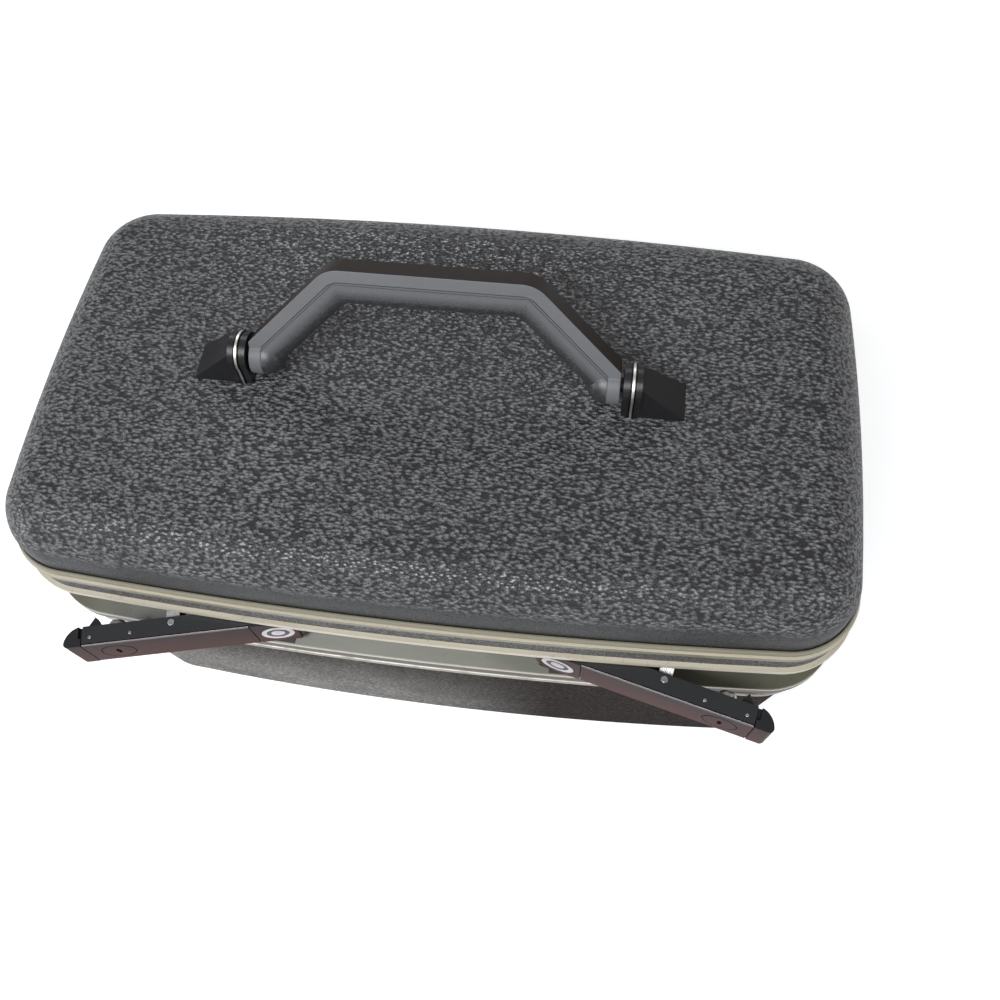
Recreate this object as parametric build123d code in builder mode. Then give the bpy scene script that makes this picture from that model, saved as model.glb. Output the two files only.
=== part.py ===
from build123d import *
import os
from math import cos, radians, sin, sqrt, tan

os.makedirs("parts", exist_ok=True)

# Case plan and height, in millimetres
case_length = 379.0
case_depth = 202.5
case_height = 203.0
side_bow = 7.6
end_bow = 4.3
corner_radius = 31.0
foot_length = 352.0
foot_depth = 198.0
foot_corner_radius = 25.0
foot_edge_radius = 8.0

# Moulded shells and linings
shell_wall = 2.4
lid_crown_radius = 24.0
lid_draft = 3.0
fit_gap = 0.05
soft_gap = 0.3
lining_thickness = 1.4
lid_padding_space = 5.6
lid_lining_skirt = 3.5

# Frame of the base, from the parting plane downwards
base_height = 153.8
lip_thickness = 3.6
lip_out = 3.2
recess_height = 29.2
recess_in = 6.4
shelf_rise = 3.2
shelf_out = 2.8
shelf_thickness = 1.8
skirt_height = 6.5
frame_wall = 1.5
tongue_height = 4.5
tongue_gap = 0.5
bead_drop = 11.0
bead_height = 3.1
bead_out = 1.7

# Frame of the lid, from the parting plane upwards
parting_gap = 0.2
strip_height = 11.2
strip_out = 1.3
strip_thickness = 0.9
low_ridge_height = 3.8
low_ridge_out = 2.0
ridge_groove_height = 0.8
ridge_groove_out = 0.5
top_ridge_height = 3.7
top_ridge_out = 1.2
shell_seat = 1.0

# Hinges at the back
hinge_spacing = 120.0
hinge_width = 36.0
knuckle_radius = 2.8
knuckle_gap = 0.2
hinge_pin_radius = 1.5
hinge_clearance = 0.3
leaf_thickness = 1.5
lid_leaf_height = 15.0
running_gap = 0.05
rivet_radius = 1.5
rivet_head_radius = 2.8
rivet_head_height = 0.9
rivet_spacing = 22.0
lid_rivet_rise = 8.6

# Handle and its brackets on the lid
bracket_outer = 109.2
bracket_width = 18.8
arch_side_width = 17.2
arch_side_height = 9.5
arch_height = 20.5
collar_start = 81.9
ring_start = 84.8
ring_width = 2.4
ring_proud = 0.4
ring_depth = 1.5
shoulder_end = 89.8
shoulder_width = 12.0
shoulder_height = 16.8
wedge_tip_height = 0.6
wedge_tip_width = 18.6
pivot_height = 10.4
pivot_pin_radius = 3.0
boss_radius = 8.6
boss_gap = 1.3
handle_tilt = 62.4
handle_rise = 46.2
handle_corner = 43.5
handle_thickness = 12.0
handle_band = 5.6
handle_width = 16.6
grip_edge_radius = 5.4
handle_corner_radius = 14.0
inner_corner_radius = 6.0
grip_end_radius = 8.2
pin_cover = 3.0
plate_length = 24.0
plate_width = 15.0
plate_thickness = 1.6
screw_radius = 1.6
screw_head_radius = 3.2
screw_head_height = 1.8
screw_bite = 4.0
screw_spacing = 11.0

# Mirror inside the lid
mirror_length = 230.0
mirror_depth = 112.0
mirror_thickness = 2.6
mirror_border = 5.0
mirror_frame_thickness = 4.6
mirror_corner_radius = 12.0

# Lever latches
latch_from_end = 120.0
pivot_in = 3.74
open_angle = -13.2
closed_angle = 2.66
lever_inner = 15.5
lever_end = 83.0
lever_front = 5.0
lever_back = 3.1
lever_wall = 1.1
lever_plate = 1.4
lever_top_gap = 1.0
lever_height = 23.4
lever_end_radius = 4.0
pivot_pin_size = 2.0
cover_thickness = 1.2
cover_start = 7.2
panel_gap = 0.4
badge_x = -3.6
badge_radius = 7.5
badge_depth = 0.5
badge_step = 2.2
lock_x = 70.0
lock_disc_radius = 7.4
lock_body_radius = 5.0
lock_body_end = 1.85
lock_plate_start = 63.5
lock_plate_end = 73.2
lock_plate_thickness = 1.1
lock_dome_x = 70.3
lock_dome_rise = 3.5
lock_dome_radius = 3.8
lock_dome_edge = 1.6
lock_proud = 3.8
lock_gap = 0.35
keyway_width = 1.2
keyway_height = 5.6
keyway_depth = 2.0
cap_start = 84.8
cap_lip_start = 83.4
cap_lip_back = 2.4
cap_end = 91.3
cap_corner = 2.2
slider_width = 4.8
slider_height = 4.0
slider_start = 73.5
slider_drop = 2.0
tooth_x = 78.4
tooth_width = 6.0
tooth_length = 4.6
release_travel = 2.5
neck_start = 81.2
neck_gap = 0.3
lever_pin_radius = 0.75
lever_pin_y = -2.2
lever_pin_places = (61.0, 79.3)
pin_head_height = 0.4

# Link between lever and keeper
rivet_x = 42.5
rivet_y = 0.5
link_rivet_radius = 1.1
link_rivet_head = 1.5
link_open_angle = 78.0
link_closed_angle = 22.0
link_width = 6.0
link_height = 9.7
link_drop = 1.5
nose_length = 5.0
nose_width = 4.0
stud_radius = 1.7
guide_clearance = 0.5
guide_bulge = 1.9

# Housing behind each latch
window_before = 15.6
window_after = 86.5
housing_wall = 1.4
housing_depth = 24.5
housing_floor = 1.0
apron_before = 9.0
apron_after = 42.5
apron_thickness = 0.6

# Keeper on the lid
keeper_after = 68.5
keeper_width = 7.0
keeper_thickness = 1.5
keeper_reach = 8.0
keeper_back = 5.4
keeper_tongue_gap = 1.2
keeper_face_gap = 2.0
shelf_plate = 2.5
nose_gap = 0.4

# Tray
tray_end_space = 26.5
tray_front_space = 28.25
tray_back_space = 18.25
tray_height = 30.0
tray_drop = 2.5
tray_wall = 1.8
tray_corner_radius = 20.0
tray_divider = 62.0
ledge_reach = 6.0
ledge_length = 100.0
ledge_thickness = 3.5

# Levels that follow from the sizes above
lip_bottom = base_height - lip_thickness
shelf_front = lip_bottom - recess_height
shelf_back = shelf_front + shelf_rise
shelf_under = shelf_front - shelf_thickness
skirt_bottom = shelf_front - skirt_height
bead_top = skirt_bottom - bead_drop
bead_bottom = bead_top - bead_height
lid_low = base_height + parting_gap
strip_top = lid_low + strip_height
low_ridge_top = strip_top + low_ridge_height
groove_top = low_ridge_top + ridge_groove_height
rim_top = groove_top + top_ridge_height
shell_low = strip_top + shell_seat
frame_inner = -(recess_in + frame_wall)
hinge_y = case_depth / 2 + lip_out + knuckle_radius + hinge_clearance
keeper_top = shell_low - 4 * fit_gap
hinge_z = base_height + parting_gap / 2
lever_top = lip_bottom - lever_top_gap
lever_low = lever_top - lever_height
lever_middle = (lever_top + lever_low) / 2
lining_low = case_height - shell_wall - lid_padding_space - lining_thickness

# Places along the length and depth that follow from the sizes above
pivot_x = case_length / 2 - latch_from_end
window_start = pivot_x - window_before
window_end = pivot_x + window_after
apron_start = pivot_x - apron_before
apron_end = pivot_x + apron_after
keeper_start = pivot_x + keeper_after
keeper_end = keeper_start + keeper_width
tray_length = case_length - 2 * tray_end_space
tray_front = case_depth / 2 - tray_front_space
tray_back = case_depth / 2 - tray_back_space


def side_line(x, out=0.0):
    """Distance from the middle of the case to its bowed long side at x."""
    reach = case_length / 2 - end_bow
    bow_radius = (reach**2 + side_bow**2) / (2 * side_bow)
    return case_depth / 2 + out - (bow_radius - sqrt(bow_radius**2 - x**2))


def bowed_outline(length, depth, radius):
    """Plan outline with four bowed sides and round corners."""
    x = length / 2 - end_bow
    y = depth / 2 - side_bow
    with BuildSketch() as plan:
        with BuildLine():
            ThreePointArc((-x, -y), (0, -depth / 2), (x, -y))
            ThreePointArc((x, -y), (length / 2, 0), (x, y))
            ThreePointArc((x, y), (0, depth / 2), (-x, y))
            ThreePointArc((-x, y), (-length / 2, 0), (-x, -y))
        make_face()
        fillet(plan.vertices(), radius=radius)
    return plan.sketch


def case_outline(out=0.0):
    """Outline of the case at its frame, moved outwards by out."""
    return bowed_outline(case_length + 2 * out, case_depth + 2 * out, corner_radius + out)


def lid_inset(z):
    """How far the draft of the lid has moved its side inwards at height z."""
    return (z - shell_low) * tan(radians(lid_draft))


def body_outline(z, out=0.0):
    """Outline of the tapered lower body at height z, moved outwards by out."""
    share = z / shelf_under
    length = foot_length + share * (case_length - foot_length)
    depth = foot_depth + share * (case_depth - foot_depth)
    radius = foot_corner_radius + share * (corner_radius - foot_corner_radius)
    return bowed_outline(length + 2 * out, depth + 2 * out, radius + out)


def prism(sketch_face, low, high, mode=Mode.ADD):
    """Upright block between two heights, from an outline drawn at zero height."""
    with BuildSketch(Plane.XY.offset(low)) as face:
        add(sketch_face)
    extrude(face.sketch, amount=high - low, mode=mode)


def ring(low, high, out, inn, mode=Mode.ADD):
    """Band around the case between two heights and two offsets of its outline."""
    with BuildSketch(Plane.XY.offset(low)) as band:
        add(case_outline(out))
        add(case_outline(inn), mode=Mode.SUBTRACT)
    extrude(band.sketch, amount=high - low, mode=mode)


def block(x_range, y_range, z_range, mode=Mode.ADD):
    """Box between two corners."""
    sizes = [high - low for low, high in (x_range, y_range, z_range)]
    middle = [(low + high) / 2 for low, high in (x_range, y_range, z_range)]
    with Locations(tuple(middle)):
        Box(*sizes, mode=mode)


def lid_form(inset, low, high, radius):
    """Solid of the domed lid, inset all round, from height low to height high."""
    with BuildPart() as form:
        with BuildSketch(Plane.XY.offset(low)):
            add(case_outline(-inset - lid_inset(low)))
        extrude(amount=high - low, taper=lid_draft)
        fillet(form.faces().sort_by(Axis.Z)[-1].edges(), radius=radius)
    return form.part


def body_form(inset, low, high, radius):
    """Solid of the tapered lower body, inset all round."""
    with BuildPart() as form:
        with BuildSketch(Plane.XY.offset(low)):
            add(body_outline(low, -inset))
        with BuildSketch(Plane.XY.offset(high)):
            add(body_outline(high, -inset))
        loft(ruled=True)
        fillet(form.faces().sort_by(Axis.Z)[0].edges(), radius=radius)
    return form.part


def cross_holes(height, radius, near, far, mode=Mode.SUBTRACT):
    """Cylinders from back to front at the rivets of both hinges."""
    with BuildSketch(Plane(origin=(0, near, height), x_dir=(-1, 0, 0), z_dir=(0, 1, 0))) as holes:
        for side in (-1, 1):
            for step in (-1, 1):
                with Locations((side * hinge_spacing / 2 + step * rivet_spacing / 2, 0)):
                    Circle(radius)
    extrude(holes.sketch, amount=far - near, mode=mode)


def save(shape, name):
    """Labels a finished piece and writes its file."""
    shape.label = name
    export_step(shape, "parts/" + name + ".step")


def save_pair(shape, name):
    """Writes the right-hand piece and its mirror image for the left."""
    save(shape, name + "_right")
    with BuildPart() as left:
        add(mirror(shape, about=Plane.YZ))
    save(left.part, name + "_left")


# Levels and planes of the hinges
hinge_inner_end = hinge_spacing / 2 - hinge_width / 2
lid_leaf_y = side_line(hinge_inner_end, low_ridge_out) + fit_gap
base_leaf_y = side_line(hinge_inner_end, lip_out) + fit_gap
lid_rivet_z = hinge_z + lid_rivet_rise
base_rivet_z = (shelf_under + skirt_bottom) / 2
hole_start = side_line(hinge_spacing / 2 + hinge_width / 2) - 4 * shell_wall

# Shell of the lid
lid_outer = lid_form(0.0, shell_low, case_height, lid_crown_radius)
lid_inner = lid_form(shell_wall, shell_low, case_height - shell_wall, lid_crown_radius - shell_wall)
screw_places = [
    ((bracket_outer + ring_start) / 2 + side * screw_spacing / 2, 0)
    for side in (-1, 1)
]
all_screw_places = screw_places + [(-x, y) for x, y in screw_places]
with BuildPart() as lid_shell:
    add(lid_outer)
    add(lid_inner, mode=Mode.SUBTRACT)
    with BuildSketch(Plane.XY.offset(case_height - 2 * shell_wall)):
        with Locations(*all_screw_places):
            Circle(screw_radius + running_gap)
    extrude(amount=3 * shell_wall, mode=Mode.SUBTRACT)
save(lid_shell.part, "lid_shell")

# Painted rim of the lid: two ridges above the channel of the strip
with BuildPart() as lid_frame:
    ring(lid_low, strip_top, strip_out - strip_thickness - fit_gap, -shell_wall)
    ring(strip_top, low_ridge_top, low_ridge_out, -shell_wall)
    ring(low_ridge_top, groove_top, ridge_groove_out, -shell_wall)
    ring(groove_top, rim_top, top_ridge_out, -shell_wall)
    edges_up = lid_frame.faces().sort_by(Axis.Z)[-1].outer_wire().edges()
    chamfer(edges_up, length=top_ridge_height / 2, length2=top_ridge_out / 2)
    ring(shell_low, rim_top, fit_gap, -2 * shell_wall, mode=Mode.SUBTRACT)
    cross_holes(lid_rivet_z, rivet_radius + fit_gap, hole_start, hinge_y)
save(lid_frame.part, "lid_frame")

# Textured strip let into the lid frame
with BuildPart() as lid_strip:
    ring(lid_low, strip_top - fit_gap, strip_out, strip_out - strip_thickness)
    cross_holes(lid_rivet_z, rivet_radius + fit_gap, hole_start, hinge_y)
save(lid_strip.part, "lid_strip")

# Padded lining of the lid
lining_inset = shell_wall + soft_gap
lining_radius = lid_crown_radius - lining_inset
lining_top = lining_low + lining_thickness
lid_pad_outer = lid_form(lining_inset, rim_top - lid_lining_skirt, lining_top, lining_radius - 6)
lid_pad_inner = lid_form(
    lining_inset + lining_thickness,
    rim_top - lid_lining_skirt,
    lining_low,
    lining_radius - lining_thickness - 6,
)
with BuildPart() as lid_lining:
    add(lid_pad_outer)
    add(lid_pad_inner, mode=Mode.SUBTRACT)
save(lid_lining.part, "lid_lining")

# Mirror and its holder, fixed under the lining
mirror_low = lining_low - mirror_frame_thickness
with BuildPart() as mirror_frame:
    with BuildSketch(Plane.XY.offset(mirror_low)):
        RectangleRounded(
            mirror_length + 2 * mirror_border,
            mirror_depth + 2 * mirror_border,
            mirror_corner_radius + mirror_border,
        )
    extrude(amount=mirror_frame_thickness)
    with BuildSketch(Plane.XY.offset(mirror_low)):
        RectangleRounded(
            mirror_length - mirror_border,
            mirror_depth - mirror_border,
            mirror_corner_radius - mirror_border / 2,
        )
    extrude(amount=mirror_frame_thickness, mode=Mode.SUBTRACT)
    with BuildSketch(Plane.XY.offset(lining_low - mirror_thickness - fit_gap)):
        RectangleRounded(mirror_length, mirror_depth, mirror_corner_radius)
    extrude(amount=mirror_thickness + fit_gap, mode=Mode.SUBTRACT)
save(mirror_frame.part, "mirror_frame")

with BuildPart() as mirror_glass:
    with BuildSketch(Plane.XY.offset(lining_low - mirror_thickness)):
        RectangleRounded(
            mirror_length - 2 * fit_gap,
            mirror_depth - 2 * fit_gap,
            mirror_corner_radius - fit_gap,
        )
    extrude(amount=mirror_thickness)
save(mirror_glass.part, "mirror_glass")

# Shell of the base
body_inner = body_form(shell_wall, shell_wall, shelf_under, foot_edge_radius - shell_wall)
with BuildPart() as base_shell:
    add(body_form(0.0, 0.0, shelf_under, foot_edge_radius))
    add(body_inner, mode=Mode.SUBTRACT)
    cross_holes(base_rivet_z, rivet_radius + fit_gap, hole_start, hinge_y)
save(base_shell.part, "base_shell")

# Lining of the base
base_lining_inset = shell_wall + soft_gap
with BuildPart() as base_lining:
    add(
        body_form(
            base_lining_inset,
            base_lining_inset,
            shelf_under - soft_gap,
            foot_edge_radius - base_lining_inset,
        )
    )
    add(
        body_form(
            base_lining_inset + lining_thickness,
            base_lining_inset + lining_thickness,
            shelf_under - soft_gap,
            foot_edge_radius - base_lining_inset - lining_thickness,
        ),
        mode=Mode.SUBTRACT,
    )
save(base_lining.part, "base_lining")

# Bright bead around the body
bead_middle = (bead_top + bead_bottom) / 2
with BuildPart() as base_bead:
    prism(body_outline(bead_middle, bead_out), bead_bottom, bead_top)
    edges_out = base_bead.faces().sort_by(Axis.Z)[-1].edges()
    edges_out += base_bead.faces().sort_by(Axis.Z)[0].edges()
    fillet(edges_out, radius=bead_height / 3)
    add(body_form(-fit_gap, 0.0, shelf_under, foot_edge_radius), mode=Mode.SUBTRACT)
save(base_bead.part, "base_bead")

# Places of one latch, for the right-hand side
pivot_y = -side_line(pivot_x) + pivot_in - lever_front / 5
lever_plane = Plane(
    origin=(pivot_x, pivot_y, 0),
    x_dir=(cos(radians(open_angle)), sin(radians(open_angle)), 0),
    z_dir=(0, 0, 1),
)
closed_plane = Plane(
    origin=(pivot_x, pivot_y, 0),
    x_dir=(cos(radians(closed_angle)), sin(radians(closed_angle)), 0),
    z_dir=(0, 0, 1),
)
rivet_open = lever_plane.from_local_coords(Vector(rivet_x, rivet_y, 0))
rivet_closed = closed_plane.from_local_coords(Vector(rivet_x, rivet_y, 0))
rivet_swing = rivet_closed.Y - rivet_open.Y
link_length = rivet_swing / (sin(radians(link_open_angle)) - sin(radians(link_closed_angle)))
guide_y = rivet_closed.Y + link_length * sin(radians(link_closed_angle))
stud_open_x = rivet_open.X + link_length * cos(radians(link_open_angle))
stud_closed_x = rivet_closed.X + link_length * cos(radians(link_closed_angle))
housing_back = -side_line(pivot_x) + housing_depth

# Painted frame of the base: lip, recess wall, sloping shelf, skirt and tongue
with BuildPart() as shelf_slope:
    with BuildSketch(Plane.XY.offset(shelf_front)):
        add(case_outline(shelf_out))
    with BuildSketch(Plane.XY.offset(shelf_back)):
        add(case_outline(-recess_in))
    loft(ruled=True)

with BuildPart() as base_frame:
    add(shelf_slope.part)
    prism(case_outline(shelf_out), skirt_bottom, shelf_front)
    ring(shelf_back - fit_gap, lip_bottom + fit_gap, -recess_in, frame_inner)
    ring(lip_bottom, base_height, lip_out, frame_inner)
    prism(case_outline(frame_inner), skirt_bottom - 1, base_height + 1, mode=Mode.SUBTRACT)
    prism(case_outline(5 * fit_gap), skirt_bottom - 1, shelf_under, mode=Mode.SUBTRACT)
    tongue_out = -(shell_wall + tongue_gap)
    ring(base_height - fit_gap, base_height + tongue_height, tongue_out, tongue_out - frame_wall)
    for side in (-1, 1):
        span = sorted((side * window_start, side * window_end))
        front = -side_line(window_start, -recess_in) - 2 * frame_wall
        block(span, (front, front + 14 * frame_wall), (shelf_back, lip_bottom), mode=Mode.SUBTRACT)
    with BuildSketch(Plane.XY.offset(shelf_under - 1)):
        with Locations((pivot_x, pivot_y), (-pivot_x, pivot_y)):
            Circle(pivot_pin_size + fit_gap)
    extrude(amount=base_height - shelf_under + 2, mode=Mode.SUBTRACT)
    cross_holes(base_rivet_z, rivet_radius + fit_gap, hole_start, hinge_y)
save(base_frame.part, "base_frame")

# Pins that the levers turn on
with BuildPart() as latch_pivot_pins:
    with BuildSketch(Plane.XY.offset(shelf_under)):
        with Locations((pivot_x, pivot_y), (-pivot_x, pivot_y)):
            Circle(pivot_pin_size)
    extrude(amount=base_height - shelf_under)
save(latch_pivot_pins.part, "latch_pivot_pins")

# Plastic housing behind the right latch, with its guide slots and apron
housing_low = shelf_back + fit_gap
housing_high = lever_top + housing_wall / 2
guide_half = stud_radius + guide_clearance
with BuildPart() as apron:
    with BuildSketch(Plane.XY.offset(shelf_front + apron_thickness)):
        add(case_outline(shelf_out - apron_thickness))
    with BuildSketch(Plane.XY.offset(shelf_back + apron_thickness)):
        add(case_outline(-recess_in))
    loft(ruled=True)
    add(shelf_slope.part, mode=Mode.SUBTRACT)
    span = (case_depth / 2 + lip_out, side_line(apron_end) - recess_in)
    block(
        (apron_start, apron_end),
        (-span[0], -span[1] + frame_wall),
        (shelf_front, shelf_back + apron_thickness),
        mode=Mode.INTERSECT,
    )

with BuildPart() as latch_housing:
    block(
        (window_start - housing_wall, window_end + housing_wall),
        (-case_depth / 2, housing_back),
        (housing_low, housing_high),
    )
    prism(case_outline(frame_inner - fit_gap), housing_low, housing_high, mode=Mode.INTERSECT)
    block(
        (window_start, window_end),
        (-case_depth / 2, housing_back - housing_wall),
        (housing_low + housing_floor, housing_high - housing_wall / 2),
        mode=Mode.SUBTRACT,
    )
    block(
        (apron_start, apron_end),
        (-side_line(apron_start) + recess_in, housing_back - housing_wall),
        (housing_low, housing_low + housing_floor),
    )
    add(apron.part)
    with BuildSketch(Plane.XY.offset(lever_middle)):
        with Locations(((stud_open_x + stud_closed_x) / 2, guide_y + guide_bulge / 2)):
            Rectangle(
                stud_closed_x - stud_open_x + 2 * guide_half,
                guide_bulge + 2 * guide_half,
            )
    extrude(amount=housing_high - lever_middle + 1, mode=Mode.SUBTRACT)
    with BuildSketch(Plane.XY.offset(shelf_front)):
        with Locations((pivot_x, pivot_y)):
            Circle(pivot_pin_size + fit_gap)
    extrude(amount=housing_high - shelf_front + 1, mode=Mode.SUBTRACT)
    block(
        (stud_open_x, keeper_end + keeper_face_gap),
        (-side_line(keeper_end) - frame_inner - keeper_face_gap, housing_back - housing_wall),
        (lever_middle, housing_high + 1),
        mode=Mode.SUBTRACT,
    )
save_pair(latch_housing.part, "latch_housing")

# Right lever: a channel open towards the case
with BuildPart() as lever:
    with BuildSketch(lever_plane.offset(lever_low)) as lever_plan:
        with BuildLine():
            Polyline(
                (lever_end, -lever_front),
                (lever_end, lever_back),
                (-lever_inner, lever_back),
                (-lever_inner, -lever_front),
                close=True,
            )
        make_face()
        inner_corners = lever_plan.vertices().sort_by(Axis.X)[:2]
        fillet(inner_corners, radius=lever_end_radius - lever_wall)
    extrude(amount=lever_height)
    with BuildSketch(lever_plane.offset(lever_low + lever_plate)):
        with Locations(((lever_end - lever_inner) / 2 + lever_wall, lever_wall)):
            Rectangle(lever_end + lever_inner, lever_front + lever_back)
    extrude(amount=lever_height - 2 * lever_plate, mode=Mode.SUBTRACT)
    with BuildSketch(lever_plane.offset(lever_low - 1)):
        Circle(pivot_pin_size + running_gap)
        with Locations((rivet_x, rivet_y)):
            Circle(link_rivet_radius + running_gap)
        with Locations(*[(x, lever_pin_y) for x in lever_pin_places]):
            Circle(lever_pin_radius + fit_gap)
    extrude(amount=lever_height + 2, mode=Mode.SUBTRACT)
    lock_plane = Plane(
        origin=lever_plane.from_local_coords(Vector(lock_x, 0, lever_middle)),
        x_dir=lever_plane.x_dir,
        z_dir=-lever_plane.y_dir,
    )
    with BuildSketch(lock_plane):
        Circle(lock_body_radius + running_gap)
    extrude(amount=lever_front + 1, mode=Mode.SUBTRACT)
save_pair(lever.part, "lever")

# Small pins through the lever
with BuildPart() as lever_pins:
    with BuildSketch(lever_plane.offset(lever_low)):
        with Locations(*[(x, lever_pin_y) for x in lever_pin_places]):
            Circle(lever_pin_radius)
    extrude(amount=lever_height + pin_head_height)
save_pair(lever_pins.part, "lever_pins")

# Glossy front cover with the hole of the lock
with BuildPart() as lever_cover:
    with BuildSketch(lever_plane.offset(lever_low)):
        with Locations(((cover_start + lever_end) / 2, -lever_front - cover_thickness / 2)):
            Rectangle(lever_end - cover_start, cover_thickness)
    extrude(amount=lever_height)
    front_face = lever_cover.faces().sort_by(Axis(lever_plane.origin, lever_plane.y_dir))[0]
    long_edges = front_face.edges().filter_by(lambda edge: edge.length > cover_start * 4)
    chamfer(long_edges, length=cover_thickness / 2)
    with BuildSketch(lock_plane):
        Circle(lock_disc_radius + lock_gap)
    extrude(amount=lever_front + 2 * cover_thickness, mode=Mode.SUBTRACT)
save_pair(lever_cover.part, "lever_cover")

# Plain end panel over the pivot, with a shallow seat for the inlay
badge_plane = Plane(
    origin=lever_plane.from_local_coords(Vector(badge_x, -lever_front, lever_middle)),
    x_dir=lever_plane.x_dir,
    z_dir=-lever_plane.y_dir,
)
with BuildPart() as lever_panel:
    with BuildSketch(lever_plane.offset(lever_low)):
        panel_start = lever_end_radius - lever_wall - lever_inner
        panel_end = cover_start - panel_gap
        with Locations(((panel_end + panel_start) / 2, -lever_front - cover_thickness / 2)):
            Rectangle(panel_end - panel_start, cover_thickness)
    extrude(amount=lever_height)
    with BuildSketch(badge_plane.offset(cover_thickness - badge_depth)):
        Circle(badge_radius + fit_gap)
    extrude(amount=badge_depth, mode=Mode.SUBTRACT)
save_pair(lever_panel.part, "lever_panel")

# Pale inlay with plain concentric steps
with BuildPart() as panel_inlay:
    with BuildSketch(badge_plane.offset(cover_thickness - badge_depth)):
        Circle(badge_radius)
    extrude(amount=badge_depth + badge_depth / 2)
    with BuildSketch(badge_plane.offset(cover_thickness)):
        Circle(badge_radius - badge_step)
        Circle(badge_radius - 2 * badge_step, mode=Mode.SUBTRACT)
    extrude(amount=badge_depth, mode=Mode.SUBTRACT)
save_pair(panel_inlay.part, "panel_inlay")

# Lock cylinder with its keyway
with BuildPart() as lock_cylinder:
    with BuildSketch(lock_plane.offset(lever_front + fit_gap)):
        Circle(lock_disc_radius)
    extrude(amount=cover_thickness)
    with BuildSketch(lock_plane.offset(-lock_body_end)):
        Circle(lock_body_radius)
    extrude(amount=lever_front + lock_body_end + fit_gap)
    with BuildSketch(lock_plane.offset(lever_front + cover_thickness + fit_gap)):
        Rectangle(keyway_width, keyway_height)
        Circle(keyway_width)
    extrude(amount=-keyway_depth, mode=Mode.SUBTRACT)
save_pair(lock_cylinder.part, "lock_cylinder")

# Plate behind the lock, with a rounded dome
dome_plane = Plane(
    origin=lever_plane.from_local_coords(Vector(lock_dome_x, lever_back, lever_middle + lock_dome_rise)),
    x_dir=lever_plane.x_dir,
    z_dir=lever_plane.y_dir,
)
with BuildPart() as lock_plate:
    with BuildSketch(dome_plane):
        Circle(lock_dome_radius)
    extrude(amount=lock_proud)
    fillet(lock_plate.faces().sort_by(Axis(dome_plane.origin, dome_plane.z_dir))[-1].edges(), radius=lock_dome_edge)
    with BuildSketch(lever_plane.offset(lever_low + lever_plate)) as plate_face:
        plate_centre = (lock_plate_start + lock_plate_end) / 2
        with Locations((plate_centre, lever_back - lock_plate_thickness / 2)):
            Rectangle(lock_plate_end - lock_plate_start, lock_plate_thickness)
    extrude(plate_face.sketch, amount=lever_height - 2 * lever_plate)
save_pair(lock_plate.part, "lock_plate")

# Release cap at the tip, with its slider and catch tooth
slider_top = lever_top - lever_plate - slider_drop / 4
with BuildPart() as release_cap:
    with BuildSketch(lever_plane.offset(lever_low)):
        with BuildLine():
            front = -lever_front - cover_thickness
            Polyline(
                (cap_start, lever_back),
                (cap_start, -cap_lip_back),
                (cap_lip_start, -cap_lip_back),
                (cap_lip_start, front),
                (cap_end - cap_corner, front),
            )
            ThreePointArc(
                (cap_end - cap_corner, front),
                (cap_end - cap_corner * 0.25, front + cap_corner * 0.35),
                (cap_end, front + cap_corner),
            )
            ThreePointArc(
                (cap_end, front + cap_corner),
                (cap_end - cap_corner, lever_back - lever_front / 2),
                (cap_start, lever_back),
            )
        make_face()
    extrude(amount=lever_height)
    with BuildSketch(lever_plane.offset(slider_top - slider_height)):
        with Locations(((slider_start + cap_start) / 2, 0)):
            Rectangle(cap_start - slider_start + 2 * fit_gap, slider_width)
        with BuildLine():
            Polyline(
                (tooth_x - tooth_width / 2, 0),
                (tooth_x - tooth_width / 2, lever_back),
                (tooth_x, lever_back + tooth_length),
                (tooth_x + tooth_width / 2, lever_back),
                (tooth_x + tooth_width / 2, 0),
                close=True,
            )
        make_face()
    extrude(amount=slider_height)
    with BuildSketch(lever_plane.offset(lever_low + lever_plate + neck_gap)):
        neck_back = lever_back - neck_gap
        neck_front = lever_wall - (lever_front + lever_back) / 2 + neck_gap
        with Locations(((neck_start + cap_start) / 2 + fit_gap, (neck_back + neck_front) / 2)):
            Rectangle(cap_start - neck_start, neck_back - neck_front)
    extrude(amount=lever_height - 2 * (lever_plate + neck_gap))
    with BuildSketch(lever_plane.offset(slider_top - 2 * slider_height)):
        with Locations((lever_pin_places[1] - release_travel / 2, lever_pin_y)):
            SlotOverall(release_travel + 2 * lever_pin_radius + 0.6, 2 * lever_pin_radius + 0.6)
    extrude(amount=3 * slider_height, mode=Mode.SUBTRACT)
save_pair(release_cap.part, "release_cap")

# Link from the lever to the keeper, with its guide stud
link_top = lever_top - link_drop
link_plane = Plane(
    origin=(rivet_open.X, rivet_open.Y, 0),
    x_dir=(cos(radians(link_open_angle)), sin(radians(link_open_angle)), 0),
    z_dir=(0, 0, 1),
)
with BuildPart() as latch_link:
    with BuildSketch(link_plane.offset(link_top - link_height)):
        with Locations((link_length / 2, 0)):
            SlotOverall(link_length + link_width, link_width)
        with Locations((link_length + nose_length / 2, 0)):
            Rectangle(nose_length, nose_width)
    extrude(amount=link_height)
    with BuildSketch(link_plane.offset(link_top - link_height)):
        with Locations((link_length, 0)):
            Circle(stud_radius)
    extrude(amount=housing_high - fit_gap - link_top + link_height)
    with BuildSketch(link_plane.offset(lever_low)):
        Circle(link_rivet_radius + running_gap)
    extrude(amount=lever_height, mode=Mode.SUBTRACT)
save_pair(latch_link.part, "latch_link")

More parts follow.
